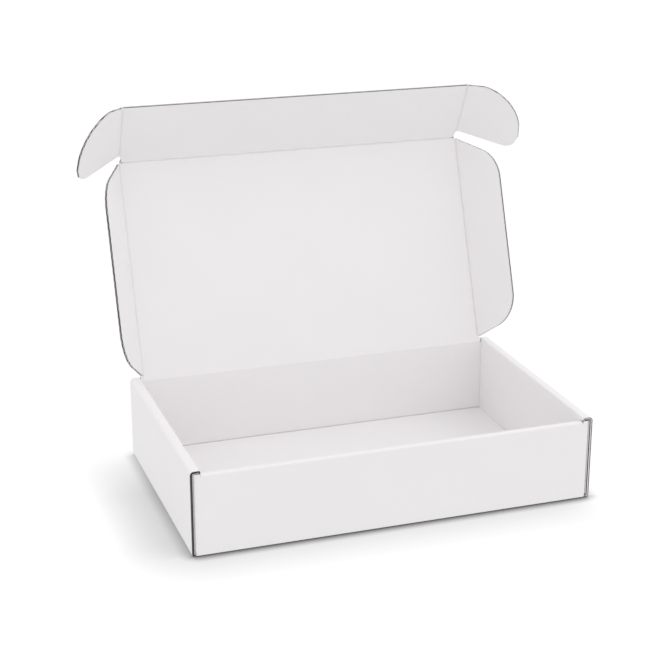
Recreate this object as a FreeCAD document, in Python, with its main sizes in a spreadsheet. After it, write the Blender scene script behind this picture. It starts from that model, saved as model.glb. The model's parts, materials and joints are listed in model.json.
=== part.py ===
# Roll-end tuck-front mailer box of white-lined corrugated board, folded from one sheet and shown open.
# Millimetres, +Z up. The origin is the centre of the base's underside and the front wall faces -Y.
import FreeCAD, Part
import os
import re
import Sketcher
from FreeCAD import Placement, Rotation, Vector

os.makedirs("parts", exist_ok=True)
doc = FreeCAD.newDocument("mailer_box")

sizes = {
    # The made-up tray
    "box_length": 348,          # outside, left to right
    "box_depth": 214,           # outside, front to back
    "side_height": 73.3,        # to the top of the rolled side walls
    "front_drop": 3.8,          # the rolled front wall, below the side walls
    "hinge_drop": 3.4,          # middle of the board at the lid's fold, below the side walls
    "board": 2.8,               # thickness of the corrugated board
    "layer_gap": 0.1,           # air between two layers of board
    "crease_gap": 0.3,          # air at a fold that moves
    "fold_radius": 2.6,         # outside of a sharp fold in the board
    "dust_ear": 90,             # length of the ears inside the side walls
    "dust_ear_clearance": 0.5,  # above and below those ears
    "front_end_drop": 0.3,      # single layer beside the front wall's roll
    "front_roll_clearance": 0.4,
    "tab_width": 28,            # tabs of the inner side walls
    "tab_spacing": 110,
    "tab_recess": 0.3,          # end of a tab above the underside
    "slot_clearance": 0.15,     # round each tab in the floor
    # The lid, measured along and across the panel from its hinge
    "lid_reach": 195.2,         # hinge to tuck fold
    "crease_inset": 11.8,       # box end to the folds of wings and ears
    "tuck_length": 62.1,
    "wing_depth": 47.3,
    "wing_start": 4.6,
    "wing_shoulder": 20.5,
    "wing_far_setback": 25.2,   # its far shoulder, short of the tuck fold
    "wing_end_setback": 3.1,
    "wing_neck": 3.7,
    "wing_radius": 32,
    # The ears, measured from their own fold and from the tuck fold
    "ear_reach": 57.8,
    "ear_start": 9,
    "ear_low": 11.5,
    "ear_top": 66,
    "ear_crown": 16,            # from the fold to where the ear is tallest
    "ear_crown_radius": 12,
    "ear_radius": 40,
    "ear_corner": 14,
    "notch_radius": 5.6,        # round end of the slot between wing and ear
    "notch_out": 4,             # its centre, outside the wing's fold
    "notch_up": 3.3,            # its centre, past the tuck fold
    # How far each fold stands open
    "lid_angle": 69.4,          # lid above the level behind the box
    "tuck_angle": 47.3,         # the rest from flat
    "wing_angle": 61.5,
    "ear_angle": 39.5,
}
sheet = doc.addObject("Spreadsheet::Sheet", "Sizes")
for row, (alias, value) in enumerate(sizes.items(), 1):
    sheet.set("A%d" % row, alias)
    sheet.set("B%d" % row, str(value))
    sheet.setAlias("B%d" % row, alias)
doc.recompute()

# Places inside the walls, as expressions
sideThickness = "(3 * board + 2 * layer_gap)"
frontThickness = "(2 * board + layer_gap)"
wallEnd = "(box_length / 2 - board - layer_gap)"
rollHalf = "(box_length / 2 - %s - front_roll_clearance)" % sideThickness
foot = "board + layer_gap"
frontHeight = "(side_height - front_drop)"
hingeSeat = "(side_height - hinge_drop) - board / 2 - crease_gap"
creaseHalf = "(box_length / 2 - crease_inset)"
wingFarShoulder, wingEnd = "lid_reach - wing_far_setback", "lid_reach - wing_end_setback"
X, Y, Z = Vector(1, 0, 0), Vector(0, 1, 0), Vector(0, 0, 1)


def size(alias):
    return float(sheet.get(alias))


def bound(expression):
    """An expression with its sizes written as references to the sheet."""
    return re.sub(r"[a-z_]+", lambda word: "Sizes." + word.group() if word.group() in sizes
                  else word.group(), expression)


def new_body(label):
    body = doc.addObject("PartDesign::Body", label)
    body.Label = label
    return body


def origin_plane(body, role):
    return [plane for plane in body.Origin.OriginFeatures if plane.Role == role][0]


def sketch_on(body, name, role, offset=None):
    """A sketch on one of the body's own planes, moved along its normal by an expression."""
    sketch = body.newObject("Sketcher::SketchObject", name)
    sketch.AttachmentSupport = [(origin_plane(body, role), "")]
    sketch.MapMode = "FlatFace"
    if offset:
        sketch.setExpression(".AttachmentOffset.Base.z", bound(offset))
    return sketch


def hold(sketch, kind, geometry, point, expression):
    index = sketch.addConstraint(Sketcher.Constraint(kind, -1, 1, geometry, point, 1.0))
    sketch.setExpression("Constraints[%d]" % index, bound(expression))


def outline(sketch, corners):
    """A closed outline of straight edges, each corner held by two expressions."""
    count = len(corners)
    first = sketch.GeometryCount
    ring = [Rotation(Z, -360.0 * i / count).multVec(100 * Y) for i in range(count)]
    for i in range(count):
        sketch.addGeometry(Part.LineSegment(ring[i], ring[(i + 1) % count]), False)
    for i in range(count):
        following = first + (i + 1) % count
        sketch.addConstraint(Sketcher.Constraint("Coincident", first + i, 2, following, 1))
    for i, (across, up) in enumerate(corners):
        hold(sketch, "DistanceX", first + i, 1, across)
        hold(sketch, "DistanceY", first + i, 1, up)


def circle(sketch, across, up, radius):
    index = sketch.addGeometry(Part.Circle(Vector(10, 10, 0), Z, 1), False)
    hold(sketch, "DistanceX", index, 3, across)
    hold(sketch, "DistanceY", index, 3, up)
    rule = sketch.addConstraint(Sketcher.Constraint("Radius", index, 1.0))
    sketch.setExpression("Constraints[%d]" % rule, bound(radius))


def pad(body, name, sketch, length, middle=False, downwards=False):
    feature = body.newObject("PartDesign::Pad", name)
    feature.Profile = sketch
    feature.Midplane = middle
    feature.Reversed = downwards
    feature.setExpression("Length", bound(length))
    doc.recompute()
    return feature


def cut_through(body, name, sketch):
    """A pocket right through, both ways from its sketch."""
    feature = body.newObject("PartDesign::Pocket", name)
    feature.Profile = sketch
    feature.Type = "ThroughAll"
    feature.Midplane = True
    doc.recompute()
    return feature


def edges_at(feature, along, points):
    """Names of the straight edges that run along a direction through one of the points."""
    names = []
    for number, edge in enumerate(feature.Shape.Edges, 1):
        start, end = edge.Vertexes[0].Point, edge.Vertexes[-1].Point
        straight = start.distanceToPoint(end)
        if straight < 0.001 or edge.Length - straight > 0.001:
            continue
        line = (end - start).normalize()
        if line.cross(along).Length > 0.001:
            continue
        if any((point - start).cross(line).Length < 0.01 for point in points):
            names.append("Edge%d" % number)
    return names


def rounded(body, name, base, along, points, radius):
    """Rounds the edges that run along a direction through the points."""
    feature = body.newObject("PartDesign::Fillet", name)
    feature.Base = (base, edges_at(base, along, points))
    feature.setExpression("Radius", bound(radius))
    doc.recompute()
    return feature


def floor_sheet():
    """The base, with the slots that take the tabs of the side walls."""
    body = new_body("floor")
    base = sketch_on(body, "FloorOutline", "XY_Plane")
    across, along = "box_length / 2 - board", "box_depth / 2 - board"
    outline(base, [("-(%s)" % across, "-(%s)" % along), (across, "-(%s)" % along),
                   (across, along), ("-(%s)" % across, along)])
    pad(body, "FloorPad", base, "board")
    slots = sketch_on(body, "TabSlots", "XY_Plane")
    for side in ("", "-"):
        outer = side + "(box_length / 2 - 2 * board - 2 * layer_gap + slot_clearance)"
        inner = side + "(box_length / 2 - %s - slot_clearance)" % sideThickness
        for end in ("", "-"):
            low = end + "tab_spacing / 2 - tab_width / 2 - slot_clearance"
            high = end + "tab_spacing / 2 + tab_width / 2 + slot_clearance"
            outline(slots, [(outer, low), (inner, low), (inner, high), (outer, high)])
    cut_through(body, "TabSlotCut", slots)
    return body


def side_wall():
    """The left wall: outer panel, roll along the top, and inner panel with its tabs."""
    body = new_body("left_side_wall")
    hook = sketch_on(body, "OuterPanelAndRoll", "XZ_Plane")
    outer, rollEdge = "-box_length / 2", "-box_length / 2 + " + sideThickness
    outline(hook, [(outer, "0"), (outer + " + board", "0"),
                   (outer + " + board", "side_height - board"),
                   (rollEdge, "side_height - board"), (rollEdge, "side_height"),
                   (outer, "side_height")])
    roll = pad(body, "OuterPanel", hook, "box_depth", middle=True)
    left, top = -size("box_length") / 2, size("side_height")
    right = left + 3 * size("board") + 2 * size("layer_gap")
    rounded(body, "SideFolds", roll, Y,
            [Vector(left, 0, 0), Vector(left, 0, top), Vector(right, 0, top)], "fold_radius")
    inner = sketch_on(body, "InnerPanelOutline", "YZ_Plane",
                      outer + " + 2 * board + 2 * layer_gap")
    front = "-box_depth / 2 + %s + layer_gap" % frontThickness
    back = "box_depth / 2 - board - layer_gap"
    corners = [(front, foot)]
    for end in ("-", ""):
        near = end + "tab_spacing / 2 - tab_width / 2"
        far = end + "tab_spacing / 2 + tab_width / 2"
        corners += [(near, foot), (near, "tab_recess"), (far, "tab_recess"), (far, foot)]
    corners += [(back, foot), (back, "side_height - board"), (front, "side_height - board")]
    outline(inner, corners)
    pad(body, "InnerPanel", inner, "board")
    return body


def dust_ears(body, name, start, end, top):
    """Ears turned back from both ends of a wall, held between the layers of the side walls."""
    for side, offset in (("Right", wallEnd + " - board"), ("Left", "-" + wallEnd)):
        ear = sketch_on(body, name + side + "Outline", "YZ_Plane", offset)
        low = "board + dust_ear_clearance"
        outline(ear, [(start, low), (end, low), (end, top), (start, top)])
        pad(body, name + side, ear, "board")


def front_wall():
    """The outer layer of the front wall, lower between its ends where it rolls over."""
    body = new_body("front_wall")
    panel = sketch_on(body, "FrontPanelOutline", "XZ_Plane", "box_depth / 2 - board / 2")
    endTop, rollFoot = frontHeight + " - front_end_drop", frontHeight + " - board"
    outline(panel, [("-" + wallEnd, "0"), (wallEnd, "0"), (wallEnd, endTop),
                    (rollHalf, endTop), (rollHalf, rollFoot), ("-" + rollHalf, rollFoot),
                    ("-" + rollHalf, endTop), ("-" + wallEnd, endTop)])
    outer = pad(body, "FrontPanel", panel, "board", middle=True)
    front = -size("box_depth") / 2
    end = size("box_length") / 2 - size("board") - size("layer_gap")
    bottom = rounded(body, "FrontBottomFold", outer, X, [Vector(0, front, 0)], "fold_radius")
    rounded(body, "FrontCorners", bottom, Z, [Vector(end, front, 0), Vector(-end, front, 0)],
            "fold_radius")
    dust_ears(body, "FrontEar", "-box_depth / 2 + board", "-box_depth / 2 + dust_ear",
              endTop + " - dust_ear_clearance")
    return body


def front_roll():
    """The front wall's rolled top and the inner layer that hangs from it."""
    body = new_body("front_roll")
    roll = sketch_on(body, "FrontRollOutline", "YZ_Plane")
    face = "-box_depth / 2"
    inside, behind = face + " + board + layer_gap", face + " + " + frontThickness
    outline(roll, [(face, frontHeight + " - board"), (inside, frontHeight + " - board"),
                   (inside, foot), (behind, foot), (behind, frontHeight), (face, frontHeight)])
    rolled = pad(body, "FrontRoll", roll, "2 * " + rollHalf, middle=True)
    front, top = -size("box_depth") / 2, size("side_height") - size("front_drop")
    back = front + 2 * size("board") + size("layer_gap")
    rounded(body, "FrontRollFolds", rolled, X, [Vector(0, front, top), Vector(0, back, top)],
            "fold_radius")
    return body


def back_wall():
    """The back wall, lower between its ends where the lid folds."""
    body = new_body("back_wall")
    panel = sketch_on(body, "BackPanelOutline", "XZ_Plane", "-(box_depth / 2 - board / 2)")
    endTop = "side_height - board - crease_gap"
    seat = creaseHalf + " + crease_gap"
    outline(panel, [("-" + wallEnd, "0"), (wallEnd, "0"), (wallEnd, endTop), (seat, endTop),
                    (seat, hingeSeat), ("-(%s)" % seat, hingeSeat), ("-(%s)" % seat, endTop),
                    ("-" + wallEnd, endTop)])
    outer = pad(body, "BackPanel", panel, "board", middle=True)
    back = size("box_depth") / 2
    end = size("box_length") / 2 - size("board") - size("layer_gap")
    bottom = rounded(body, "BackBottomFold", outer, X, [Vector(0, back, 0)], "fold_radius")
    rounded(body, "BackCorners", bottom, Z, [Vector(end, back, 0), Vector(-end, back, 0)],
            "fold_radius")
    dust_ears(body, "BackEar", "box_depth / 2 - dust_ear", "box_depth / 2 - board",
              endTop + " - dust_ear_clearance")
    return body


def notches(body, name, up):
    """Round slot ends at both ends of the tuck fold."""
    ends = sketch_on(body, name + "Circles", "XY_Plane")
    circle(ends, creaseHalf + " + notch_out", up, "notch_radius")
    circle(ends, "-(%s + notch_out)" % creaseHalf, up, "notch_radius")
    cut_through(body, name, ends)


def lid_panel():
    """The lid, flat: its hinge runs along the body's X axis, in the middle of the board."""
    body = new_body("lid_panel")
    panel = sketch_on(body, "LidOutline", "XY_Plane")
    edge, far = creaseHalf + " - crease_gap / 2", "lid_reach - crease_gap / 2"
    outline(panel, [("-(%s)" % edge, "-board / 2"), (edge, "-board / 2"), (edge, far),
                    ("-(%s)" % edge, far)])
    flat = pad(body, "LidPad", panel, "board", middle=True)
    half = size("board") / 2
    rounded(body, "HingeRound", flat, X, [Vector(0, -half, half), Vector(0, -half, -half)],
            "fold_radius / 2")
    notches(body, "LidNotches", "lid_reach + notch_up")
    return body


def tuck_panel():
    """The tuck panel, flat: it folds on the body's X axis, on the inside face."""
    body = new_body("front_tuck_panel")
    panel = sketch_on(body, "TuckOutline", "XY_Plane")
    edge = creaseHalf + " - crease_gap / 2"
    outline(panel, [("-(%s)" % edge, "crease_gap / 2"), (edge, "crease_gap / 2"),
                    (edge, "tuck_length"), ("-(%s)" % edge, "tuck_length")])
    pad(body, "TuckPad", panel, "board", downwards=True)
    notches(body, "TuckNotches", "notch_up")
    return body


def lid_wing():
    """The right wing, flat: it folds on the body's Y axis, on the inside face."""
    body = new_body("right_lid_wing")
    panel = sketch_on(body, "WingOutline", "XY_Plane")
    root = "crease_gap / 2"
    outline(panel, [(root, "wing_start"), ("wing_depth", "wing_shoulder"),
                    ("wing_depth", wingFarShoulder), ("wing_neck", wingEnd),
                    (root, wingEnd)])
    flat = pad(body, "WingPad", panel, "board", downwards=True)
    depth, far = size("wing_depth"), size("lid_reach") - size("wing_far_setback")
    rounded(body, "WingShoulders", flat, Z, [Vector(depth, size("wing_shoulder"), 0),
            Vector(depth, far, 0)], "wing_radius")
    return body


def tuck_ear():
    """The right ear, flat: it folds on the body's Y axis, on the inside face."""
    body = new_body("right_tuck_ear")
    panel = sketch_on(body, "EarOutline", "XY_Plane")
    root = "crease_gap / 2"
    outline(panel, [(root, "ear_start"), ("ear_reach", "ear_low"), ("ear_reach", "ear_top"),
                    ("ear_crown", "ear_top"), (root, "tuck_length")])
    flat = pad(body, "EarPad", panel, "board", downwards=True)
    reach, top = size("ear_reach"), size("ear_top")
    shoulder = rounded(body, "EarShoulder", flat, Z, [Vector(reach, top, 0)], "ear_radius")
    corner = rounded(body, "EarCorner", shoulder, Z, [Vector(reach, size("ear_low"), 0)],
                     "ear_corner")
    rounded(body, "EarCrown", corner, Z, [Vector(size("ear_crown"), top, 0)],
            "ear_crown_radius")
    return body


def mirrored(source, label):
    """The same piece on the left-hand side."""
    twin = doc.addObject("Part::Mirroring", label)
    twin.Label = label
    twin.Source = source
    twin.Normal = X
    return twin


# The tray is one folded sheet
leftWall = side_wall()
tray = doc.addObject("Part::MultiFuse", "tray_base")
tray.Shapes = [floor_sheet(), leftWall, mirrored(leftWall, "right_side_wall"), front_wall(),
               front_roll(), back_wall()]
tray.Refine = True
tray.Label = "tray_base"

# The lid and what folds on it, turned to where they stand
lid, tuck, wing, ear = lid_panel(), tuck_panel(), lid_wing(), tuck_ear()
insideFace = size("board") / 2
foldAt = size("box_length") / 2 - size("crease_inset")
hingeHeight = size("side_height") - size("hinge_drop")
lid.Placement = Placement(Vector(0, size("box_depth") / 2 - insideFace, hingeHeight),
                          Rotation(X, size("lid_angle")))
tuck.Placement = lid.Placement * Placement(Vector(0, size("lid_reach"), insideFace),
                                           Rotation(X, size("tuck_angle")))
wing.Placement = lid.Placement * Placement(Vector(foldAt, 0, insideFace),
                                           Rotation(Y, -size("wing_angle")))
ear.Placement = tuck.Placement * Placement(Vector(foldAt, 0, 0),
                                           Rotation(Y, -size("ear_angle")))
pieces = [tray, lid, tuck, wing, mirrored(wing, "left_lid_wing"), ear,
          mirrored(ear, "left_tuck_ear")]
doc.recompute()

for item in doc.Objects:
    if "Invalid" in item.State or "Error" in item.State:
        raise RuntimeError("%s failed: %s" % (item.Name, item.State))
for piece in pieces:
    shape = piece.Shape
    if shape.isNull() or not shape.isValid() or len(shape.Solids) != 1:
        raise RuntimeError("%s is not one valid solid" % piece.Label)
    shape.exportStep("parts/%s.step" % piece.Label)
    box = shape.BoundBox
    print("%-18s %9.1f mm3  %s" % (piece.Label, shape.Volume, box))
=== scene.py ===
# Roll-end tuck-front mailer box of white-lined corrugated board, shown open on a pale floor.
# Sizes are in millimetres until they reach a mesh, which is in metres.
import json
import math
import bpy
import numpy as np
from mathutils import Matrix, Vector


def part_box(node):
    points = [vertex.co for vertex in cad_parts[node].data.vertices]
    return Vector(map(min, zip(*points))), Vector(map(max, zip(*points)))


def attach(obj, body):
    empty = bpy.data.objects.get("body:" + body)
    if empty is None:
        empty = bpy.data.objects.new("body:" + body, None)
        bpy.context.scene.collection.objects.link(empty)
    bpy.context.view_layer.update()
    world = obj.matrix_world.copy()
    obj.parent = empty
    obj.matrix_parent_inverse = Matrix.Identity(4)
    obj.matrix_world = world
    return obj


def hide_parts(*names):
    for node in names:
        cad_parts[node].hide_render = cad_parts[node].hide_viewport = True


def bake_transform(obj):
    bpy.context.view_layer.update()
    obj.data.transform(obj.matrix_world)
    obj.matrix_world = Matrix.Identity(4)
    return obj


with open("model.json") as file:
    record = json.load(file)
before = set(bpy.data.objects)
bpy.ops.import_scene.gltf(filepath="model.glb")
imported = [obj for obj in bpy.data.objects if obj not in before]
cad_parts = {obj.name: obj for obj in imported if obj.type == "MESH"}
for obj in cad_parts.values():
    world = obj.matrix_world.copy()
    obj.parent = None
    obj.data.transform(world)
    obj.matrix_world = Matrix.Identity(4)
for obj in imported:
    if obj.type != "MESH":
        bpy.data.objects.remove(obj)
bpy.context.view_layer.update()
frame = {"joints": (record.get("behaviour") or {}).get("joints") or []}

mm = 0.001
tiny, farAway = 1e-6, 1e6
joints = {joint["name"]: joint for joint in frame["joints"]}

# Sizes of the board, and then steps of the meshes. Each piece has its own sizes beside its code.
board = {"thickness": 2.8, "layerGap": 0.1,
         "liner": 0.26, "medium": 0.26, "slantedMedium": 0.95,  # papers as a cut shows them
         "flutePitch": 6.4, "waveFill": 0.96,                   # the wave, short of the liners
         "cutDepth": 2.2, "mediumInset": 0.12,                  # how far one sees into a cut
         "steep": 9, "rootSlope": 0.6,                          # how fast a cut gets that deep
         "leastDepth": 0.01, "leastWidth": 0.05, "mitre": 0.8,  # limits for slivers and corners
         "pinch": 0.9, "pinchWidth": 1.7,                       # thinner along a die-cut edge
         "crush": 0.9, "leastCrush": 0.1, "crushWidth": 2.0,    # thinner in a sharp fold
         "scoreDepth": 0.42, "scoreWidth": 0.8, "scoreMiddle": 1.7,   # dip beside and in a crease
         "bendKept": 0.97, "bendLoss": 0.14, "sharpAngle": 32}  # outside of a crease
grid = {"cutStep": 0.4, "bendPoints": 25, "bendStep": 0.4, "nearStep": 1.0, "near": 2,
        "wallStep": 9, "cornerStep": 0.45, "sideStep": 8, "sideAcross": 1.6, "floorStep": 12,
        "panelStep": 14, "besideCrease": (0.35, 0.8, 1.3, 2.0, 3.0), "creaseStep": 6,
        "foldPoints": 13, "hingePoints": 9, "hingeRows": 30}

thickness = board["thickness"]
trayLow, trayHigh = (np.array(corner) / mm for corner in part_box("tray_base"))
halfLength, halfDepth, sideTop = trayHigh[0], trayHigh[1], trayHigh[2]


# Frames of the hinged panels: fold line, direction up the panel and its inside normal

# A vector made one long
def direction(values):
    vector = np.array(values, float)
    return vector / np.linalg.norm(vector)


acrossBox = np.array([1.0, 0.0, 0.0])
hingeLine = np.array(joints["lid_hinge"]["pos_m"]) / mm
lidUp = direction(joints["left_wing_fold"]["axis"])
lidInside = np.cross(acrossBox, lidUp)
lidFoot = np.array(joints["right_wing_fold"]["pos_m"]) / mm
creaseHalf = lidFoot[0]
lidFoot = lidFoot * (0, 1, 1)
tuckFoot = np.array(joints["tuck_fold"]["pos_m"]) / mm
lidReach = np.linalg.norm(tuckFoot - lidFoot)
tuckUp = direction(joints["left_ear_fold"]["axis"])
tuckInside = np.cross(acrossBox, tuckUp)


# Across and inside directions of a flap folded in from the flat by an angle
def turnedOut(inside, degrees):
    angle = math.radians(degrees)
    return (acrossBox * math.cos(angle) + inside * math.sin(angle),
            inside * math.cos(angle) - acrossBox * math.sin(angle))


# Colours and materials

# Linear colour from sRGB hex
def colour(text):
    parts = np.array([int(text[i:i + 2], 16) for i in (1, 3, 5)]) / 255
    linear = np.where(parts <= 0.04045, parts / 12.92, ((parts + 0.055) / 1.055) ** 2.4)
    return (*linear, 1.0)


# A node with its settings, and its inputs as values or as another node's output
def addNode(tree, kind, settings=None, inputs=None):
    node = tree.nodes.new(kind)
    for name, value in (settings or {}).items():
        setattr(node, name, value)
    for name, value in (inputs or {}).items():
        if isinstance(value, bpy.types.NodeSocket):
            tree.links.new(value, node.inputs[name])
        else:
            node.inputs[name].default_value = value
    return node


# A material with an empty node tree
def newMaterial(name):
    material = bpy.data.materials.new(name)
    material.use_nodes = True
    material.node_tree.nodes.clear()
    return material, material.node_tree


liner = {"bright": "#F5F3F4", "soft": "#F2F0F1", "roughness": 0.58, "ior": 1.45,
         "washboard": 0.009,                                    # flutes felt through it
         "fibre": 0.003, "fibreSize": 0.7, "fibreDetail": 3.0, "fibreRoughness": 0.6,
         "waver": 0.03, "waverSize": 60, "waverDetail": 1.5}


# White clay-coated liner: matt and even, with the flutes just felt through it and a fine fibre
def clayCoatedLiner():
    material, tree = newMaterial("clayCoatedLiner")
    flat = addNode(tree, "ShaderNodeUVMap", {"uv_map": "sheet"}).outputs["UV"]
    parts = addNode(tree, "ShaderNodeSeparateXYZ", inputs={0: flat})
    phase = addNode(tree, "ShaderNodeMath", {"operation": "MULTIPLY"},
                    {0: parts.outputs["Y"], 1: 2 * math.pi / (board["flutePitch"] * mm)})
    ridge = addNode(tree, "ShaderNodeMath", {"operation": "SINE"}, {0: phase.outputs[0]})
    fibre = addNode(tree, "ShaderNodeTexNoise", {"noise_dimensions": "3D"},
                    {"Vector": flat, "Scale": 1 / (liner["fibreSize"] * mm),
                     "Detail": liner["fibreDetail"], "Roughness": liner["fibreRoughness"]})
    waver = addNode(tree, "ShaderNodeTexNoise", {"noise_dimensions": "3D"},
                    {"Vector": flat, "Scale": 1 / (liner["waverSize"] * mm),
                     "Detail": liner["waverDetail"]})
    height = addNode(tree, "ShaderNodeMath", {"operation": "MULTIPLY"},
                     {0: ridge.outputs[0], 1: liner["washboard"] * mm})
    height = addNode(tree, "ShaderNodeMath", {"operation": "MULTIPLY_ADD"},
                     {0: fibre.outputs["Fac"], 1: liner["fibre"] * mm, 2: height.outputs[0]})
    height = addNode(tree, "ShaderNodeMath", {"operation": "MULTIPLY_ADD"},
                     {0: waver.outputs["Fac"], 1: liner["waver"] * mm, 2: height.outputs[0]})
    bump = addNode(tree, "ShaderNodeBump", inputs={"Strength": 1.0, "Distance": 1.0,
                                                  "Height": height.outputs[0]})
    tone = addNode(tree, "ShaderNodeMix", {"data_type": "RGBA"},
                   {"Factor": waver.outputs["Fac"], 6: colour(liner["bright"]),
                    7: colour(liner["soft"])})
    surface = addNode(tree, "ShaderNodeBsdfPrincipled",
                      inputs={"Base Color": tone.outputs[2], "Roughness": liner["roughness"],
                              "IOR": liner["ior"], "Normal": bump.outputs[0]})
    addNode(tree, "ShaderNodeOutputMaterial", inputs={"Surface": surface.outputs[0]})
    return material


# hollow is not a colour of the paper. It is painted shade: a darker grey for the walls deep inside
# a cut's hollows.
cutEdge = {"liner": "#918E8B", "medium": "#E6E4E2", "hollow": "#7A7774", "roughness": 0.9,
           "specular": 0.2, "mottle": 1.1, "mottleDetail": 2.0, "mottleRange": (0.72, 1.25)}


# Unbleached paper where the board is cut: dull, with a fine mottle of fibre
def rawPaper(name, text):
    material, tree = newMaterial(name)
    place = addNode(tree, "ShaderNodeTexCoord").outputs["Object"]
    mottle = addNode(tree, "ShaderNodeTexNoise", inputs={
        "Vector": place, "Scale": 1 / (cutEdge["mottle"] * mm),
        "Detail": cutEdge["mottleDetail"]})
    darkest, palest = cutEdge["mottleRange"]
    shade = addNode(tree, "ShaderNodeMapRange", inputs={
        "Value": mottle.outputs["Fac"], "To Min": darkest, "To Max": palest})
    tone = addNode(tree, "ShaderNodeVectorMath", {"operation": "SCALE"},
                   {0: colour(text)[:3], "Scale": shade.outputs[0]})
    surface = addNode(tree, "ShaderNodeBsdfPrincipled", inputs={
        "Base Color": tone.outputs[0], "Roughness": cutEdge["roughness"],
        "Specular IOR Level": cutEdge["specular"]})
    addNode(tree, "ShaderNodeOutputMaterial", inputs={"Surface": surface.outputs[0]})
    return material


# The flute hollows' material is raw paper in that darker grey, as painted shade deep in the cut.
boardMaterials = [clayCoatedLiner(), rawPaper("cutLinerEdge", cutEdge["liner"]),
                  rawPaper("cutMedium", cutEdge["medium"]),
                  rawPaper("fluteHollowShade", cutEdge["hollow"])]
faceKind, edgeKind, mediumKind, hollowShadeKind = range(len(boardMaterials))
print("materials made")


# Board as closed sheets on a grid

# A closed mesh from arrays: its points in mm, quads, a material for each, and flat places
def meshPiece(name, points, faces, kinds, flat):
    used, renumbered = np.unique(faces, return_inverse=True)
    faces = renumbered.reshape(faces.shape)
    points, flat = points[used], flat[used]
    a, b, c, d = (points[faces[:, k]] for k in range(4))
    volume = np.einsum("ij,ij->i", a, np.cross(b, c)) + np.einsum("ij,ij->i", a, np.cross(c, d))
    if volume.sum() < 0:
        faces = faces[:, ::-1]
    mesh = bpy.data.meshes.new(name)
    mesh.from_pydata((points * mm).tolist(), [], faces.tolist())
    mesh.polygons.foreach_set("material_index", kinds.astype(np.int32))
    mesh.polygons.foreach_set("use_smooth", np.ones(len(faces), bool))
    sheetMap = mesh.uv_layers.new(name="sheet")
    corners = np.empty(len(mesh.loops), np.int32)
    mesh.loops.foreach_get("vertex_index", corners)
    sheetMap.data.foreach_set("uv", (flat[corners] * mm).astype(np.float32).ravel())
    for material in boardMaterials:
        mesh.materials.append(material)
    mesh.update()
    mesh.set_sharp_from_angle(angle=math.radians(board["sharpAngle"]))
    piece = bpy.data.objects.new(name, mesh)
    bpy.context.scene.collection.objects.link(piece)
    return piece


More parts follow.
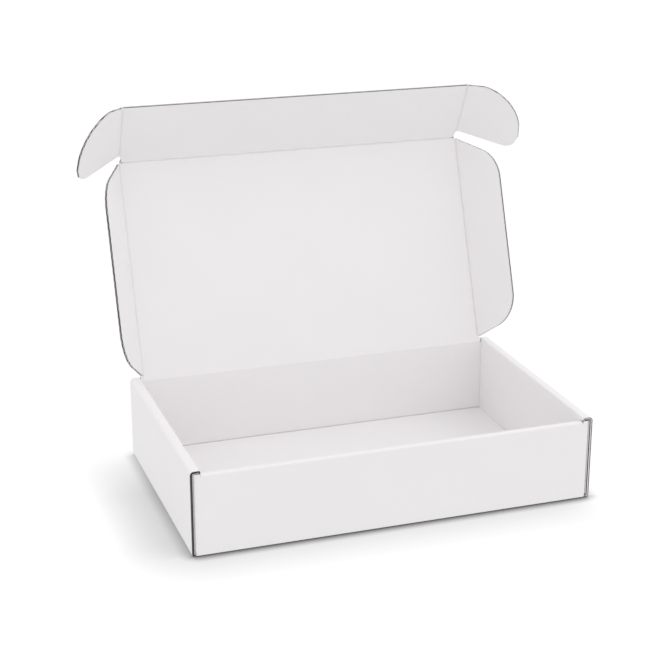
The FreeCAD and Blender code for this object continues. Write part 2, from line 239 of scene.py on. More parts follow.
# A sheet over the cells of a flat grid: inside liner at height 0, outside liner one thickness
# below, and at each cut edge two liners with a hollow between them, where the medium runs as a
# sine of the distance across the flutes. limit is how deep the hollow may be, next to nothing
# where the board carries on past a fold. A pinched sheet is thinner beside its cuts, where the
# die pressed it.
def boardSheet(name, uLines, vLines, place, cells=None, warp=None, limit=None, flutes="u",
               score=None, pinched=False, phase=0.6):
    u, v = np.meshgrid(uLines, vLines, indexing="ij")
    middle = [(lines[1:] + lines[:-1]) / 2 for lines in (uLines, vLines)]
    present = np.ones((len(uLines) - 1, len(vLines) - 1), bool)
    if cells:
        present = cells(*np.meshgrid(*middle, indexing="ij"))
    if warp:
        u, v = warp(u, v)
    number = np.arange(u.size).reshape(u.shape)
    a, b = number[:-1, :-1][present], number[1:, :-1][present]
    c, d = number[1:, 1:][present], number[:-1, 1:][present]
    u, v = u.ravel(), v.ravel()

    # Edges with a cell on one side only, each with the board on its left
    padded = np.pad(present, 1)
    ahead, behind = padded[1:, 1:-1], padded[:-1, 1:-1]
    above, below = padded[1:-1, 1:], padded[1:-1, :-1]
    across, along = (number[:, 1:], number[:, :-1]), (number[:-1, :], number[1:, :])
    pairs = [(across[0], across[1], ahead & ~behind), (across[1], across[0], behind & ~ahead),
             (along[0], along[1], above & ~below), (along[1], along[0], below & ~above)]
    start = np.concatenate([first[mask] for first, last, mask in pairs])
    end = np.concatenate([last[mask] for first, last, mask in pairs])
    du, dv = u[end] - u[start], v[end] - v[start]
    length = np.maximum(np.hypot(du, dv), 1e-9)
    inward = np.zeros((u.size, 2))
    slant = np.zeros(u.size)
    alongFlute = np.abs(du if flutes == "u" else dv) / length
    for side in (start, end):
        np.add.at(inward, side, np.stack([-dv, du], 1) / length[:, None])
        np.add.at(slant, side, alongFlute / 2)
    rim = np.unique(start)
    inward = inward[rim]
    inward *= 2 / np.maximum((inward ** 2).sum(1), board["mitre"])[:, None]
    across = (v if flutes == "u" else u)[rim]
    deep = np.full(len(rim), board["cutDepth"])
    if limit:
        deep = np.clip(limit(u[rim], v[rim]), board["leastDepth"], deep)
    thick = np.full(u.size, thickness)
    if pinched:
        cut = rim[deep > 2 * board["leastDepth"]]
        nearest = np.min(np.hypot(u[:, None] - u[cut], v[:, None] - v[cut]), axis=1)
        thick -= board["pinch"] * np.exp(-(nearest / board["pinchWidth"]) ** 2)
    turn = 2 * math.pi * across / board["flutePitch"] + phase
    steep = slant[rim] ** 2 * np.abs(np.cos(turn))
    medium = board["medium"] + (board["slantedMedium"] - board["medium"]) * steep
    swing = (thick[rim] - 2 * board["liner"] - medium) / 2 * board["waveFill"]
    wave = -thick[rim] / 2 + swing * np.sin(turn)
    shallow = np.minimum(board["mediumInset"], deep / 2)
    none = np.zeros(len(rim))
    inner, outer = none - board["liner"], board["liner"] - thick[rim]
    levels = [(inner, none), (inner, deep), (wave + medium / 2, deep), (wave + medium / 2, shallow),
              (wave - medium / 2, shallow), (wave - medium / 2, deep), (outer, deep),
              (outer, none)]
    # Faces inside the hollow take the darker grey of painted shade, not the paper's own colour.
    paintedShadeKinds = [hollowShadeKind] * 3
    kindOf = [edgeKind, *paintedShadeKinds, mediumKind, *paintedShadeKinds, edgeKind]

    flatU, flatV = [u, u], [v, v]
    height = [np.zeros(u.size), -thick]
    if score:
        height[0] = -score(u, v)
    ring = np.full((u.size, len(levels) + 2), -1)
    ring[:, 0], ring[:, -1] = np.arange(u.size), np.arange(u.size) + u.size
    for k, (level, depth) in enumerate(levels):
        ring[rim, k + 1] = 2 * u.size + k * len(rim) + np.arange(len(rim))
        flatU.append(u[rim] + inward[:, 0] * depth)
        flatV.append(v[rim] + inward[:, 1] * depth)
        height.append(level)
    quads = [np.stack([a, b, c, d], 1), np.stack([a, d, c, b], 1) + u.size]
    kinds = [np.full(len(a), faceKind), np.full(len(a), faceKind)]
    for k, kind in enumerate(kindOf):
        quads.append(np.stack([ring[start, k + 1], ring[end, k + 1], ring[end, k],
                               ring[start, k]], 1))
        kinds.append(np.full(len(start), kind))
    flatU, flatV, height = (np.concatenate(values) for values in (flatU, flatV, height))
    points = place(flatU, flatV, height)
    acrossFlutes = (flatU, flatV) if flutes == "u" else (flatV, flatU)
    return meshPiece(name, points, np.concatenate(quads), np.concatenate(kinds),
                     np.stack(acrossFlutes, 1))


# Grid lines through all the stops, in order, with equal steps no longer than step in between
def spaced(*stops, step):
    lines = [np.linspace(low, high, max(2, math.ceil((high - low) / step - tiny) + 1))[:-1]
             for low, high in zip(stops, stops[1:]) if high > low]
    return np.append(np.concatenate(lines), stops[-1])


# A path of straight runs, each corner a quarter circle of its radius: how far along, where, the
# way it heads, and where the middles of its bends are
def foldedPath(corners, radii):
    corners = np.array(corners, float)
    where, bends = [corners[0]], []
    for before, corner, after, radius in zip(corners, corners[1:], corners[2:], radii):
        into, out = direction(corner - before), direction(after - corner)
        turn = into[0] * out[1] - into[1] * out[0]
        left = np.array([-into[1], into[0]]) * np.sign(turn)
        centre = corner - into * radius + left * radius
        angles = np.linspace(0, math.pi / 2, grid["bendPoints"])[:, None]
        arc = centre - left * radius * np.cos(angles) + into * radius * np.sin(angles)
        bends.append(len(where) + grid["bendPoints"] // 2)
        where.extend(arc)
    where.append(corners[-1])
    where = np.array(where)
    steps = np.linalg.norm(np.diff(where, axis=0), axis=1)
    distance = np.append(0, np.cumsum(steps))
    heading = np.gradient(where, distance, axis=0)
    heading /= np.linalg.norm(heading, axis=1)[:, None]
    return {"distance": distance, "where": where, "heading": heading,
            "bends": distance[bends], "radii": np.array(radii)}


# Points off a folded path, to its inner side. At each bend the offset is less by a bell curve of
# the distance to it, more so in a sharp fold, where the board is crushed.
def alongPath(path, distance, offset, crushed=True):
    for bend, radius in zip(path["bends"], path["radii"]):
        loss = max(board["leastCrush"], 1 - board["crush"] * radius / thickness) if crushed else 0
        offset = offset * (1 - loss * np.exp(-((distance - bend) / board["crushWidth"]) ** 2))
    x, y = (np.interp(distance, path["distance"], path["where"][:, k]) for k in (0, 1))
    hx, hy = (np.interp(distance, path["distance"], path["heading"][:, k]) for k in (0, 1))
    size = np.hypot(hx, hy)
    return x + path["side"] * -hy / size * offset, y + path["side"] * hx / size * offset


# Grid lines along a path: close together in and beside its bends
def pathLines(path, *stops, step):
    reach = path["radii"] * math.pi / 4
    edges = [0, *stops]
    for bend, half in zip(path["bends"], reach):
        reached = half + grid["near"]
        edges += [bend - half, bend + half, bend - reached, bend + reached]
    edges = np.clip(np.array(sorted(edges)), 0, path["distance"][-1])
    edges = edges[np.append(True, np.diff(edges) > tiny)]
    lines = []
    for low, high in zip(edges, edges[1:]):
        near = np.abs((low + high) / 2 - path["bends"]) - reach
        size = grid["nearStep"] if near.min() < grid["near"] else step
        size = grid["bendStep"] if near.min() < 0 else size
        lines.append(spaced(low, high, step=min(size, step))[:-1])
    return np.append(np.concatenate(lines), edges[-1])


tray = {"baseFold": 1.2, "sideBaseFold": 2.6, "outerFold": 3.3, "innerFold": 1.5,
        "frontFold": 1.7, "cornerFold": 2.6,                    # outside radii of the folds
        "leftPhase": 0.0, "rightPhase": 1.67,                   # of the side walls' flutes
        "rollCut": 70.6, "flangeCut": 69.65,                    # where the side rolls end
        "panelFoot": 2.9, "tabEnd": 0.3,                        # feet of the inner panels
        "tabWidth": 28, "tabSpacing": 110, "slotGap": 0.15,
        "frontTop": 69.5, "frontEndTop": 70.35,                 # rolled, and beside the roll
        "frontRollGap": 0.1, "frontSlit": 0.15, "slitBelow": 0.2,
        "backTop": 68.2, "backEndTop": 70.2, "seatHalf": 164.7,       # under the lid, and beside
        "earLength": 90, "earFoot": 3.3,                        # dust ears inside the side walls
        "beyond": 200, "cornerKept": 0.98}                      # above any wall, and fold's core
gap = board["layerGap"]
wallEnd = halfLength - thickness - gap                  # front and back walls turn here
sideInner = halfLength - 3 * thickness - 2 * gap        # inside face of a side wall
frontInner = halfDepth - 2 * thickness - gap            # inside face of the front wall
backInner = halfDepth - thickness                       # inside face of the back wall
rollHalf = sideInner - tray["frontRollGap"]


# Whether a depth lies in a tab of the side walls, or within a clearance of one
def tabAt(y, clearance=0.0):
    half = tray["tabWidth"] / 2 + clearance
    return np.abs(np.abs(y) - tray["tabSpacing"] / 2) < half


tabStops = [side * tray["tabSpacing"] / 2 + end * (tray["tabWidth"] / 2 + extra)
            for side in (-1, 1) for end in (-1, 1) for extra in (0, tray["slotGap"])]


# Outer panel, roll and inner panel in one strip, carried round three folds. Past the roll it is
# cut to the inner panel, a flange over the front wall's roll, and the tabs.
def sideWall(name, side):
    path = foldedPath([(thickness - halfLength, 0), (-halfLength, 0), (-halfLength, sideTop),
                       (-sideInner, sideTop), (-sideInner, tray["tabEnd"])],
                      [tray["sideBaseFold"], tray["outerFold"], tray["innerFold"]])
    path["side"] = -1
    length = path["distance"][-1]
    rollEnd = length - (tray["rollCut"] - tray["tabEnd"])
    foot = length - (tray["panelFoot"] - tray["tabEnd"])
    front, back = -frontInner + gap, backInner - gap
    flange = length - (tray["flangeCut"] - tray["tabEnd"])
    overRoll = -halfDepth + thickness + gap

    def cells(u, y):
        panel = (y > front) & (y < back) & (u < foot)
        return (u < rollEnd) | panel | tabAt(y) | ((u < flange) & (y > overRoll) & (y < 0))

    def place(u, y, w):
        x, z = alongPath(path, u, w + thickness)
        return np.stack([x * -side, y, z], 1)

    yStops = sorted([-halfDepth, overRoll, front, back, halfDepth] + tabStops)
    return boardSheet(name, pathLines(path, rollEnd, flange, foot, length, step=grid["sideStep"]),
                      spaced(*yStops, step=grid["sideAcross"]), place, cells,
                      limit=lambda u, y: u * board["steep"],
                      phase=tray["rightPhase"] if side > 0 else tray["leftPhase"])


# The base panel, with a slot for each tab of the side walls
def floorSheet():
    inner, outer = sideInner - tray["slotGap"], sideInner + thickness + tray["slotGap"]
    edge, end = halfLength - thickness, backInner

    def cells(x, y):
        return ~((np.abs(x) > inner) & (np.abs(x) < outer) & tabAt(y, tray["slotGap"]))

    def limit(x, y):
        return np.minimum(edge - np.abs(x), end - np.abs(y)) * board["steep"]

    def place(x, y, w):
        return np.stack([x, y, w + thickness], 1)

    xStops = [-edge, -outer, -inner, inner, outer, edge]
    yStops = sorted([-end, end] + tabStops)
    return boardSheet("floor_sheet", spaced(*xStops, step=grid["floorStep"]),
                      spaced(*yStops, step=grid["cutStep"] * 2), place, cells, limit=limit)


# Seen from above: along the wall from its middle, round its corner and back along its ear
def cornerPath(y):
    inward = -np.sign(y)
    path = foldedPath([(0, y), (wallEnd, y), (wallEnd, y + inward * tray["earLength"])],
                      [tray["cornerFold"]])
    path["side"] = inward
    return path


# A front or back wall: folded up from the base, and round both corners into its ears. From
# straightFrom outwards it runs straight up, whatever its profile does in the middle.
def endWall(name, y, profile, lines, acrossStops, present, straightFrom=farAway):
    corner = cornerPath(y)
    radius = tray["cornerFold"]
    turnEnd = wallEnd - radius + radius * math.pi / 2
    length = corner["distance"][-1]
    upright = foldedPath([profile["where"][0], (y, 0), (y, tray["beyond"])],
                         profile["radii"][:1])
    upright["side"] = profile["side"]

    def cells(u, x):
        z = np.interp(u, upright["distance"], upright["where"][:, 1])
        ear = (np.abs(x) < turnEnd) | ((z > tray["earFoot"]) & (u > radius))
        return present(u, np.abs(x)) & ear

    def place(u, x, w):
        middle = alongPath(profile, u, w + thickness)
        outer = alongPath(upright, u, w + thickness)
        depth, z = np.where(np.abs(x) < straightFrom, middle, outer)
        off = np.abs(depth - y)
        most = radius * tray["cornerKept"]
        off = np.where(np.abs(x) > wallEnd - radius, np.minimum(off, most), off)
        px, py = alongPath(corner, np.abs(x), off, crushed=False)
        return np.stack([px * np.sign(x), py, z], 1)

    stops = [0, *acrossStops, wallEnd - radius]
    half = np.concatenate([spaced(*stops, step=grid["wallStep"]),
                           spaced(wallEnd - radius, turnEnd, step=grid["cornerStep"])[1:],
                           spaced(turnEnd, length, step=grid["wallStep"])[1:]])
    return boardSheet(name, lines, np.concatenate([-half[:0:-1], half]), place, cells,
                      limit=lambda u, x: u * board["steep"], flutes="v")


# Outer layer, rolled top and inner layer; beside the roll the outer layer stands alone
def frontWall():
    profile = foldedPath([(thickness - halfDepth, 0), (-halfDepth, 0),
                          (-halfDepth, tray["frontTop"]), (-frontInner, tray["frontTop"]),
                          (-frontInner, tray["panelFoot"])],
                         [tray["baseFold"], tray["frontFold"], tray["frontFold"]])
    profile["side"] = -1
    length = profile["distance"][-1]
    endTop = profile["bends"][0] + tray["baseFold"] * (math.pi / 4 - 1) + tray["frontEndTop"]
    slitFoot = profile["bends"][1] - tray["frontFold"] * math.pi / 4 - tray["slitBelow"]
    slitEnd = rollHalf + tray["frontSlit"]

    def present(u, x):
        return (u < slitFoot) | (x < rollHalf) | ((x > slitEnd) & (u < endTop))

    return endWall("front_wall", -halfDepth, profile,
                   pathLines(profile, slitFoot, endTop, length, step=grid["cutStep"]),
                   [rollHalf, slitEnd], present, straightFrom=slitEnd - tiny)


# A single layer, lower where the lid folds
def backWall():
    profile = foldedPath([(halfDepth - thickness, 0), (halfDepth, 0),
                          (halfDepth, tray["backEndTop"])], [tray["baseFold"]])
    profile["side"] = 1
    length = profile["distance"][-1]
    seat = length - (tray["backEndTop"] - tray["backTop"])
    return endWall("back_wall", halfDepth, profile,
                   pathLines(profile, seat, length, step=grid["cutStep"]), [tray["seatHalf"]],
                   lambda u, x: (u < seat) | (x > tray["seatHalf"]))


# Places flat points of a panel: across it, up it, and off its inside face
def flatPlace(foot, across, up, inside):
    return lambda u, v, w: foot + u[:, None] * across + v[:, None] * up + w[:, None] * inside


# How far the inside liner dips: a bell curve of the distance to the nearest crease
def scoreNear(*distances):
    nearest = np.minimum.reduce([np.abs(distance) for distance in distances])
    return board["scoreDepth"] * np.exp(-(nearest / board["scoreWidth"]) ** 2)


# Grid lines between two edges, closer beside an edge that is creased
def creased(low, high, step, start=True, finish=True):
    near = grid["besideCrease"]
    stops = [low] + [low + n for n in near if start] + [high - n for n in near[::-1] if finish]
    return spaced(*stops, high, step=step)


lid = {"creaseGap": 0.5, "hingeStart": 1.0,
       "footHalf": 164.6, "footRise": 0.8, "footFall": (1.0, 0.2),    # wider below the wings
       "footSlope": 1.2, "footLines": 0.3, "hingeInset": 0.1}
tuck = {"length": 61.5, "notchRadius": 5.6, "notchOut": 4, "notchUp": 3.3,    # round slot ends
        "fineTo": 9.0, "fineStep": 0.25, "edgeBand": 4, "edgeStep": 1.5,
        "foldLines": (0.35, 0.8, 1.5)}
trim = lid["creaseGap"]


# Where the slot between wing and ear ends, measured from the middle of the panel: its circle at a
# level from the tuck fold, or far away where the circle doesn't reach
def slotEnd(v):
    rise = tuck["notchRadius"] ** 2 - (v - tuck["notchUp"]) ** 2
    cut = creaseHalf + tuck["notchOut"] - np.sqrt(np.maximum(rise, 0))
    return np.where(rise > 0, cut, farAway)


slotRise = math.sqrt(tuck["notchRadius"] ** 2 - tuck["notchOut"] ** 2)
slotLow, slotHigh = tuck["notchUp"] - slotRise, tuck["notchUp"] + slotRise


# The lid between its folds: as wide as the wings' folds, bitten in where the slots end, and a
# little wider below the wings, down to the hinge
def lidPanel():
    half, top = creaseHalf - trim, lidReach - trim
    uLines = creased(-half, half, grid["panelStep"])
    low = lid["hingeStart"]
    vLines = np.unique(np.append(creased(low, top, grid["near"]),
                                 spaced(low, wing["start"] + lid["footFall"][1],
                                        step=lid["footLines"])))

    def widest(v):
        ends = [low, low + lid["footRise"], *(wing["start"] - np.array(lid["footFall"]))]
        foot = np.interp(v, ends, [half, lid["footHalf"], lid["footHalf"], half])
        return np.minimum(slotEnd(v - lidReach), foot)

    def warp(u, v):
        return u * widest(v) / half, v

    def score(u, v):
        atSide = np.where(v > wing["start"], np.abs(u) - creaseHalf, farAway)
        return scoreNear(atSide, v - lidReach)

    def limit(u, v):
        return np.maximum((np.abs(u) - half) * lid["footSlope"], 0)

    return boardSheet("lid_sheet", uLines, vLines,
                      flatPlace(lidFoot, acrossBox, lidUp, lidInside), warp=warp, score=score,
                      limit=limit)


# A strip whose lower corners are bitten out by the round ends of the slots
def tuckPanel():
    half, free = creaseHalf - trim, tuck["length"]
    vLines = spaced(trim, *(trim + near for near in tuck["foldLines"]), tuck["fineTo"],
                    step=tuck["fineStep"])
    vLines = np.append(vLines, spaced(tuck["fineTo"], free - tuck["edgeBand"], free,
                                      step=tuck["edgeStep"])[1:])

    def warp(u, v):
        return u * np.minimum(slotEnd(v), half) / half, v

    def score(u, v):
        return scoreNear(np.abs(u) - creaseHalf, v)

    def limit(u, v):
        atFold = (v < trim + tiny) | ((np.abs(u) > half - tiny) & (v < free - tiny))
        return np.where(atFold, 0, board["steep"])

    return boardSheet("tuck_sheet", creased(-half, half, grid["panelStep"]), vLines,
                      flatPlace(tuckFoot, acrossBox, tuckUp, tuckInside), warp=warp, score=score,
                      limit=limit, pinched=True)


# An open outline of straight edges, each inner corner an arc of its radius that touches both
# edges, as points at even distances
def roundedOutline(corners, step):
    where = [np.array(corners[0][:2], float)]
    for before, here, after in zip(corners, corners[1:], corners[2:]):
        corner, size = np.array(here[:2], float), here[2]
        into = direction(corner - np.array(before[:2], float))
        out = direction(np.array(after[:2], float) - corner)
        turn = math.atan2(into[0] * out[1] - into[1] * out[0], into @ out)
        tangent = size * math.tan(abs(turn) / 2)
        left = np.array([-into[1], into[0]]) * np.sign(turn)
        begin = corner - into * tangent
        angles = np.linspace(0, abs(turn), max(2, math.ceil(abs(turn) * size / step)))[:, None]
        centre = begin + left * size
        where.extend(centre - left * size * np.cos(angles) + into * size * np.sin(angles))
    where.append(np.array(corners[-1][:2], float))
    where = np.array(where)
    distance = np.append(0, np.cumsum(np.linalg.norm(np.diff(where, axis=0), axis=1)))
    even = np.linspace(0, distance[-1], math.ceil(distance[-1] / step) + 1)
    return np.stack([np.interp(even, distance, where[:, k]) for k in (0, 1)], 1)


# The same placing, on the left where side is -1
def mirrorPlace(place, side):
    return lambda u, v, w: place(u, v, w) * np.array([side, 1, 1])


wing = {"angle": 61.5, "start": 4.6, "depth": 47.3, "shoulder": 20.5, "farShoulder": 170,
        "neckLevel": 192.3, "radius": 32, "slotLines": 14,
        "lines": (12, 24, 36, 42.5, 44.5, 46)}


# A flap with two round shoulders: at each level along its fold, shares of the way out to its
# outline
def lidWing(name, side):
    outline = roundedOutline([(trim, wing["start"]),
                              (wing["depth"], wing["shoulder"], wing["radius"]),
                              (wing["depth"], wing["farShoulder"], wing["radius"]),
                              (tuck["notchOut"], wing["neckLevel"])], grid["cutStep"])
    slotFoot = tuck["notchUp"] - tuck["notchRadius"] + board["leastDepth"]
    levels = np.linspace(slotFoot, slotLow, wing["slotLines"])
    slot = np.stack([slotEnd(levels) - creaseHalf, levels + lidReach], 1)
    outline = np.concatenate([outline, slot[slot[:, 0] > trim]])
    across, inside = turnedOut(lidInside, wing["angle"])
    share = np.array([0, *grid["besideCrease"], *wing["lines"]]) / wing["lines"][-1]

    def warp(s, v):
        reach = np.interp(v, outline[:, 1], outline[:, 0])
        return trim + s * np.maximum(reach - trim, board["leastWidth"]), v

    place = flatPlace(lidFoot + acrossBox * creaseHalf, across, lidUp, inside)
    return boardSheet(name, share, outline[:, 1], mirrorPlace(place, side), warp=warp,
                      limit=lambda u, v: (u - trim) * board["rootSlope"],
                      score=lambda u, v: scoreNear(u), pinched=True)


ear = {"angle": 39.5, "reach": 57.8, "low": 11.5, "top": 66, "crown": 16,
       "crownRadius": 12, "radius": 40, "corner": 14, "slotLines": 9, "leastLine": 0.12,
       "lines": (0, 0.03, 0.07, 0.25, 0.5, 0.75, 0.93, 0.97, 1)}


# A flap with a curved outer end: at each distance from its fold, shares of the way from its
# lower edge to its upper one
def tuckEar(name, side):
    low = roundedOutline([(tuck["notchOut"], tuck["notchUp"] + tuck["notchRadius"]),
                          (ear["reach"], ear["low"], ear["corner"]),
                          (ear["reach"], ear["low"] + ear["corner"])], grid["cutStep"])
    inSlot = np.linspace(trim, tuck["notchOut"], ear["slotLines"])[:-1]
    rise = np.sqrt(tuck["notchRadius"] ** 2 - (inSlot - tuck["notchOut"]) ** 2)
    low = np.concatenate([np.stack([inSlot, tuck["notchUp"] + rise], 1), low])
    high = roundedOutline([(trim, tuck["length"]), (ear["crown"], ear["top"], ear["crownRadius"]),
                           (ear["reach"], ear["top"], ear["radius"]),
                           (ear["reach"], ear["top"] - ear["radius"])], grid["cutStep"])
    uLines = np.unique(np.round(np.concatenate([low[:, 0], high[:, 0]]), 3))
    uLines = uLines[np.append(np.diff(uLines) > ear["leastLine"], True)]
    across, inside = turnedOut(tuckInside, ear["angle"])

    def warp(u, s):
        bottom = np.interp(u, low[:, 0], low[:, 1])
        top = np.interp(u, high[:, 0], high[:, 1])
        return u, bottom + s * np.maximum(top - bottom, board["leastWidth"])

    place = flatPlace(tuckFoot + acrossBox * creaseHalf, across, tuckUp, inside)
    return boardSheet(name, uLines, np.array(ear["lines"]), mirrorPlace(place, side), warp=warp,
                      limit=lambda u, v: (u - trim) * board["rootSlope"],
                      score=lambda u, v: scoreNear(u), pinched=True)


# Creases that bend between two bodies

# A closed strip: a section carried along a line from a foot, row by row, and capped with quads
# between the two halves of the section at both ends
def stripPiece(name, section, foot, line, rows, alongFlutes, mirror=1):
    count = len(section)
    points = foot + section[None, :, :] + rows[:, None, None] * line
    points = points.reshape(-1, 3) * np.array([mirror, 1, 1])
    i, k = np.meshgrid(np.arange(len(rows) - 1), np.arange(count), indexing="ij")
    following = (k + 1) % count
    quads = np.stack([i * count + k, i * count + following, (i + 1) * count + following,
                      (i + 1) * count + k], -1).reshape(-1, 4)
    caps = []
    for base in (0, (len(rows) - 1) * count):
        ring = base + np.arange(count)
        cap = np.stack([ring[:count // 2 - 1], ring[1:count // 2], ring[::-1][1:count // 2],
                        ring[::-1][:count // 2 - 1]], 1)
        caps.append(cap if base else cap[:, ::-1])
    caps = np.concatenate(caps)
    around = np.append(0, np.cumsum(np.linalg.norm(np.diff(section, axis=0), axis=1)))
    flat = [np.tile(around, len(rows)), np.repeat(rows, count)]
    flat = flat[::-1] if alongFlutes else flat
    kinds = np.append(np.full(len(quads), faceKind), np.full(len(caps), mediumKind))
    piece = meshPiece(name, points, np.concatenate([quads, caps]), kinds, np.stack(flat, 1))
    return piece


# Directions that turn evenly from one to another, as parts of the angle between them
def turning(parts, angle, first, last):
    blend = np.sin((1 - parts) * angle) * first + np.sin(parts * angle) * last
    return blend / math.sin(angle)


# The board in a fold about its inside face: a small dip inside, and outside an arc of one
# thickness about the fold line, flatter in the middle.
def creaseStrip(name, fold, line, low, high, fromWay, fromInside, toWay, toInside,
                mirror=1):
    parts = np.linspace(0, 1, grid["foldPoints"])[:, None]
    fromOut, toOut = -fromInside, -toInside
    whole = math.acos(np.clip(fromOut @ toOut, -1, 1))
    arc = turning(parts, whole, fromOut, toOut) * thickness
    arc *= board["bendKept"] - board["bendLoss"] * np.sin(math.pi * parts) ** 2
    dip = board["scoreDepth"]
    start, end = -trim * fromWay, trim * toWay
    edgeDip = dip * math.exp(-(trim / board["scoreWidth"]) ** 2)
    section = np.concatenate([[end + toOut * edgeDip],
                              [direction(fromOut + toOut) * dip * board["scoreMiddle"]],
                              [start + fromOut * edgeDip], [start + fromOut * thickness], arc,
                              [end + toOut * thickness]])
    piece = stripPiece(name, section, fold, line, spaced(low, high, step=grid["creaseStep"]),
                       False, mirror)
    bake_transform(piece)


# The board between the back wall and the lid: straight up from the wall, then an arc about the
# middle of its thickness inside and a corner outside
def hingeStrip():
    half = lid["footHalf"] - lid["hingeInset"]
    base = np.array([0, hingeLine[1], tray["backTop"]])
    wallUp, wallInside = np.array([0, 0, 1.0]), np.array([0, -1.0, 0])
    lean = math.acos(np.clip(wallUp @ lidUp, -1, 1))
    parts = np.linspace(0, 1, grid["hingePoints"])[:, None]
    inner = turning(parts, lean, wallInside, lidInside) * thickness / 2
    outer = wallInside * thickness / 2 + wallUp * thickness / 2 * math.tan(lean / 2)
    end = hingeLine + lidUp * lid["hingeStart"]
    section = np.concatenate([[base + wallInside * thickness / 2], hingeLine + inner,
                              [end + lidInside * thickness / 2],
                              [end - lidInside * thickness / 2], [hingeLine - outer],
                              [base - wallInside * thickness / 2]])
    piece = stripPiece("lid_hinge_crease", section, np.zeros(3), acrossBox,
                       np.linspace(-half, half, grid["hingeRows"]), True)
    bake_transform(piece)


# The tray
trayPieces = [floorSheet(), sideWall("left_side_wall", -1), sideWall("right_side_wall", 1),
              frontWall(), backWall()]
for piece in trayPieces:
    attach(piece, "tray")
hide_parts("tray_base")
print("tray made")

# The lid and its flaps
for piece, body, node in ((lidPanel(), "lid", "lid_panel"),
                          (tuckPanel(), "front_tuck", "front_tuck_panel"),
                          (lidWing("right_wing_sheet", 1), "right_wing", "right_lid_wing"),
                          (lidWing("left_wing_sheet", -1), "left_wing", "left_lid_wing"),
                          (tuckEar("right_ear_sheet", 1), "right_ear", "right_tuck_ear"),
                          (tuckEar("left_ear_sheet", -1), "left_ear", "left_tuck_ear")):
    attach(piece, body)
    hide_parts(node)
hingeStrip()
foldEnd = float(slotEnd(0.0))
creaseStrip("tuck_crease", tuckFoot, acrossBox, -foldEnd, foldEnd,
            lidUp, lidInside, tuckUp, tuckInside)
for side, word in ((1, "right"), (-1, "left")):
    across, inside = turnedOut(lidInside, wing["angle"])
    creaseStrip(word + "_wing_crease", lidFoot + acrossBox * creaseHalf,
                lidUp, wing["start"], lidReach + slotLow, acrossBox, lidInside, across, inside,
                side)
    across, inside = turnedOut(tuckInside, ear["angle"])
    creaseStrip(word + "_ear_crease",
                tuckFoot + acrossBox * creaseHalf, tuckUp, slotHigh, tuck["length"],
                acrossBox, tuckInside, across, inside, side)
print("lid made")


# Floor, light and camera

# One for rays from the camera, and for those that a glossy or clear surface passes on
def seenRays(tree):
    path = addNode(tree, "ShaderNodeLightPath")
    seen = path.outputs["Is Camera Ray"]
    for kind in ("Is Glossy Ray", "Is Transmission Ray"):
        either = addNode(tree, "ShaderNodeMath", {"operation": "MAXIMUM"},
                         {0: seen, 1: path.outputs[kind]})
        seen = either.outputs[0]
    return seen


studio = {"reach": 12.0, "bounce": "#EBEBEB", "shown": 1.03, "plain": 0.92, "even": 0.85,
          "shadeTilt": (0.85, 0.24, 0.47), "shadeReach": 0.055, "shadeLow": 0.46,
          "shadeFrom": 0.02, "shadeGone": 0.14, "shadeSamples": 12,
          "contactReach": 0.011, "contactFrom": 0.42, "contactFront": 0.0, "contactSide": 0.6,
          "contactSamples": 8}


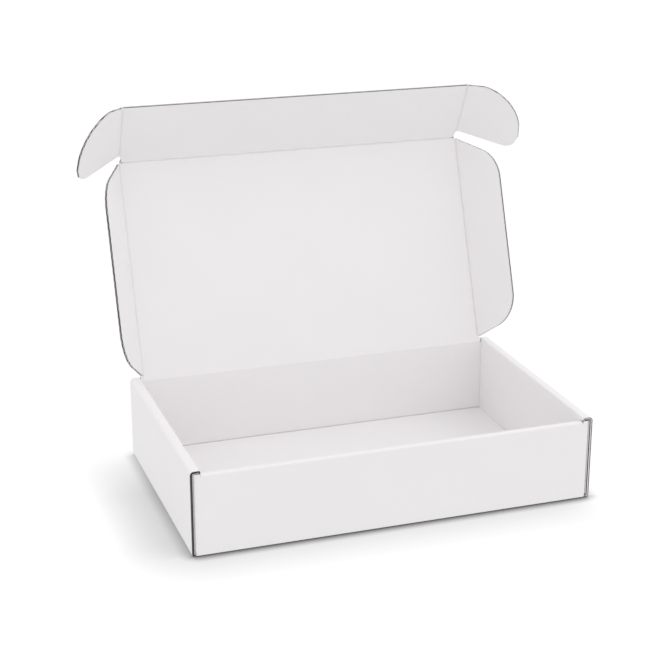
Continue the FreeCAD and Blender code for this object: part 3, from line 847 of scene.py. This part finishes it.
# A wide pale floor, white to the eye. It darkens by how much of the box a tilted half of the sky
# meets, which lays the shade on the left and in front, and again close to where the box stands.
def studioFloor():
    mesh = bpy.data.meshes.new("studio_floor")
    reach = studio["reach"]
    mesh.from_pydata([(-reach, -reach, 0), (reach, -reach, 0), (reach, reach, 0),
                      (-reach, reach, 0)], [], [(0, 1, 2, 3)])
    material, tree = newMaterial("paleFloor")
    seenBy = seenRays(tree)
    place = addNode(tree, "ShaderNodeSeparateXYZ", inputs={
        0: addNode(tree, "ShaderNodeTexCoord").outputs["Object"]})
    frontFace = (halfDepth - tray["baseFold"]) * -mm
    deepest = addNode(tree, "ShaderNodeMapRange", inputs={
        "Value": place.outputs["Y"], "From Min": frontFace - mm, "From Max": frontFace + mm,
        "To Min": studio["contactFront"], "To Max": studio["contactSide"]})
    nearby = addNode(tree, "ShaderNodeAmbientOcclusion", {"samples": studio["contactSamples"]},
                     {"Distance": studio["contactReach"]})
    contact = addNode(tree, "ShaderNodeMapRange", inputs={
        "Value": nearby.outputs["AO"], "From Min": studio["contactFrom"],
        "To Min": deepest.outputs[0]})
    tilt = addNode(tree, "ShaderNodeCombineXYZ", inputs=dict(enumerate(studio["shadeTilt"])))
    tilted = addNode(tree, "ShaderNodeAmbientOcclusion", {"samples": studio["shadeSamples"]},
                     {"Distance": studio["shadeReach"], "Normal": tilt.outputs[0]})
    lowest = addNode(tree, "ShaderNodeMapRange", inputs={
        "Value": place.outputs["Y"], "From Min": studio["shadeFrom"],
        "From Max": studio["shadeGone"], "To Min": studio["shadeLow"], "To Max": studio["shown"]})
    shade = addNode(tree, "ShaderNodeMapRange", inputs={
        "Value": tilted.outputs["AO"], "To Min": lowest.outputs[0], "To Max": studio["shown"]})
    shade = addNode(tree, "ShaderNodeMath", {"operation": "MULTIPLY"},
                    {0: shade.outputs[0], 1: contact.outputs[0]})
    seen = addNode(tree, "ShaderNodeCombineColor", inputs={
        0: shade.outputs[0], 1: shade.outputs[0], 2: shade.outputs[0]})
    tone = addNode(tree, "ShaderNodeMix", {"data_type": "RGBA"},
                   {"Factor": seenBy, 6: colour(studio["bounce"]),
                    7: seen.outputs[0]})
    lit = addNode(tree, "ShaderNodeBsdfDiffuse", inputs={"Color": tone.outputs[2]})
    plain = addNode(tree, "ShaderNodeEmission", inputs={"Color": tone.outputs[2],
                                                       "Strength": 1.0})
    share = addNode(tree, "ShaderNodeMapRange", inputs={
        "Value": seenBy, "To Min": studio["even"], "To Max": studio["plain"]})
    surface = addNode(tree, "ShaderNodeMixShader", inputs={
        0: share.outputs[0], 1: lit.outputs[0], 2: plain.outputs[0]})
    addNode(tree, "ShaderNodeOutputMaterial", inputs={"Surface": surface.outputs[0]})
    mesh.materials.append(material)
    floor = bpy.data.objects.new("studio_floor", mesh)
    bpy.context.scene.collection.objects.link(floor)


light = {"sky": 0.953, "key": 0.23, "keySpread": 40, "keyTurn": (10, 34, 0)}


# An even pale sky, and one faint broad lamp from above, on the front right
def lights():
    world = bpy.data.worlds.new("studioSky")
    world.use_nodes = True
    tree = world.node_tree
    tree.nodes.clear()
    level = addNode(tree, "ShaderNodeMapRange", inputs={
        "Value": seenRays(tree), "To Min": light["sky"], "To Max": 1.0})
    sky = addNode(tree, "ShaderNodeBackground", inputs={"Color": colour("#FFFFFF"),
                                                       "Strength": level.outputs[0]})
    addNode(tree, "ShaderNodeOutputWorld", inputs={"Surface": sky.outputs[0]})
    bpy.context.scene.world = world
    data = bpy.data.lights.new("key", "SUN")
    data.energy = light["key"]
    data.angle = math.radians(light["keySpread"])
    key = bpy.data.objects.new("key", data)
    key.rotation_euler = [math.radians(angle) for angle in light["keyTurn"]]
    bpy.context.scene.collection.objects.link(key)


camera = {"place": (-447.8, -1241.9, 598.2), "yaw": 19.09, "pitch": 19.52, "roll": 0.09,
          "focalPixels": 1641.9, "imagePixels": 670, "sensor": 36, "clip": (0.05, 60)}


# The camera of the photograph, from its fitted place, turn and focal length
def photoCamera():
    yaw, pitch, roll = (math.radians(camera[word]) for word in ("yaw", "pitch", "roll"))
    ahead = np.array([math.sin(yaw) * math.cos(pitch), math.cos(yaw) * math.cos(pitch),
                      -math.sin(pitch)])
    level = np.array([math.cos(yaw), -math.sin(yaw), 0])
    upright = np.cross(level, ahead)
    right = math.cos(roll) * level + math.sin(roll) * upright
    up = math.cos(roll) * upright - math.sin(roll) * level
    data = bpy.data.cameras.new("photo_camera")
    data.sensor_width = camera["sensor"]
    data.lens = camera["focalPixels"] / camera["imagePixels"] * camera["sensor"]
    data.clip_start, data.clip_end = camera["clip"]
    view = bpy.data.objects.new("photo_camera", data)
    turn = np.identity(4)
    turn[:3, 0], turn[:3, 1], turn[:3, 2] = right, up, -ahead
    turn[:3, 3] = np.array(camera["place"]) * mm
    view.matrix_world = Matrix(turn.tolist())
    bpy.context.scene.collection.objects.link(view)
    bpy.context.scene.camera = view


studioFloor()
lights()
photoCamera()
bpy.context.scene.view_settings.view_transform = "Standard"
print("stage made")
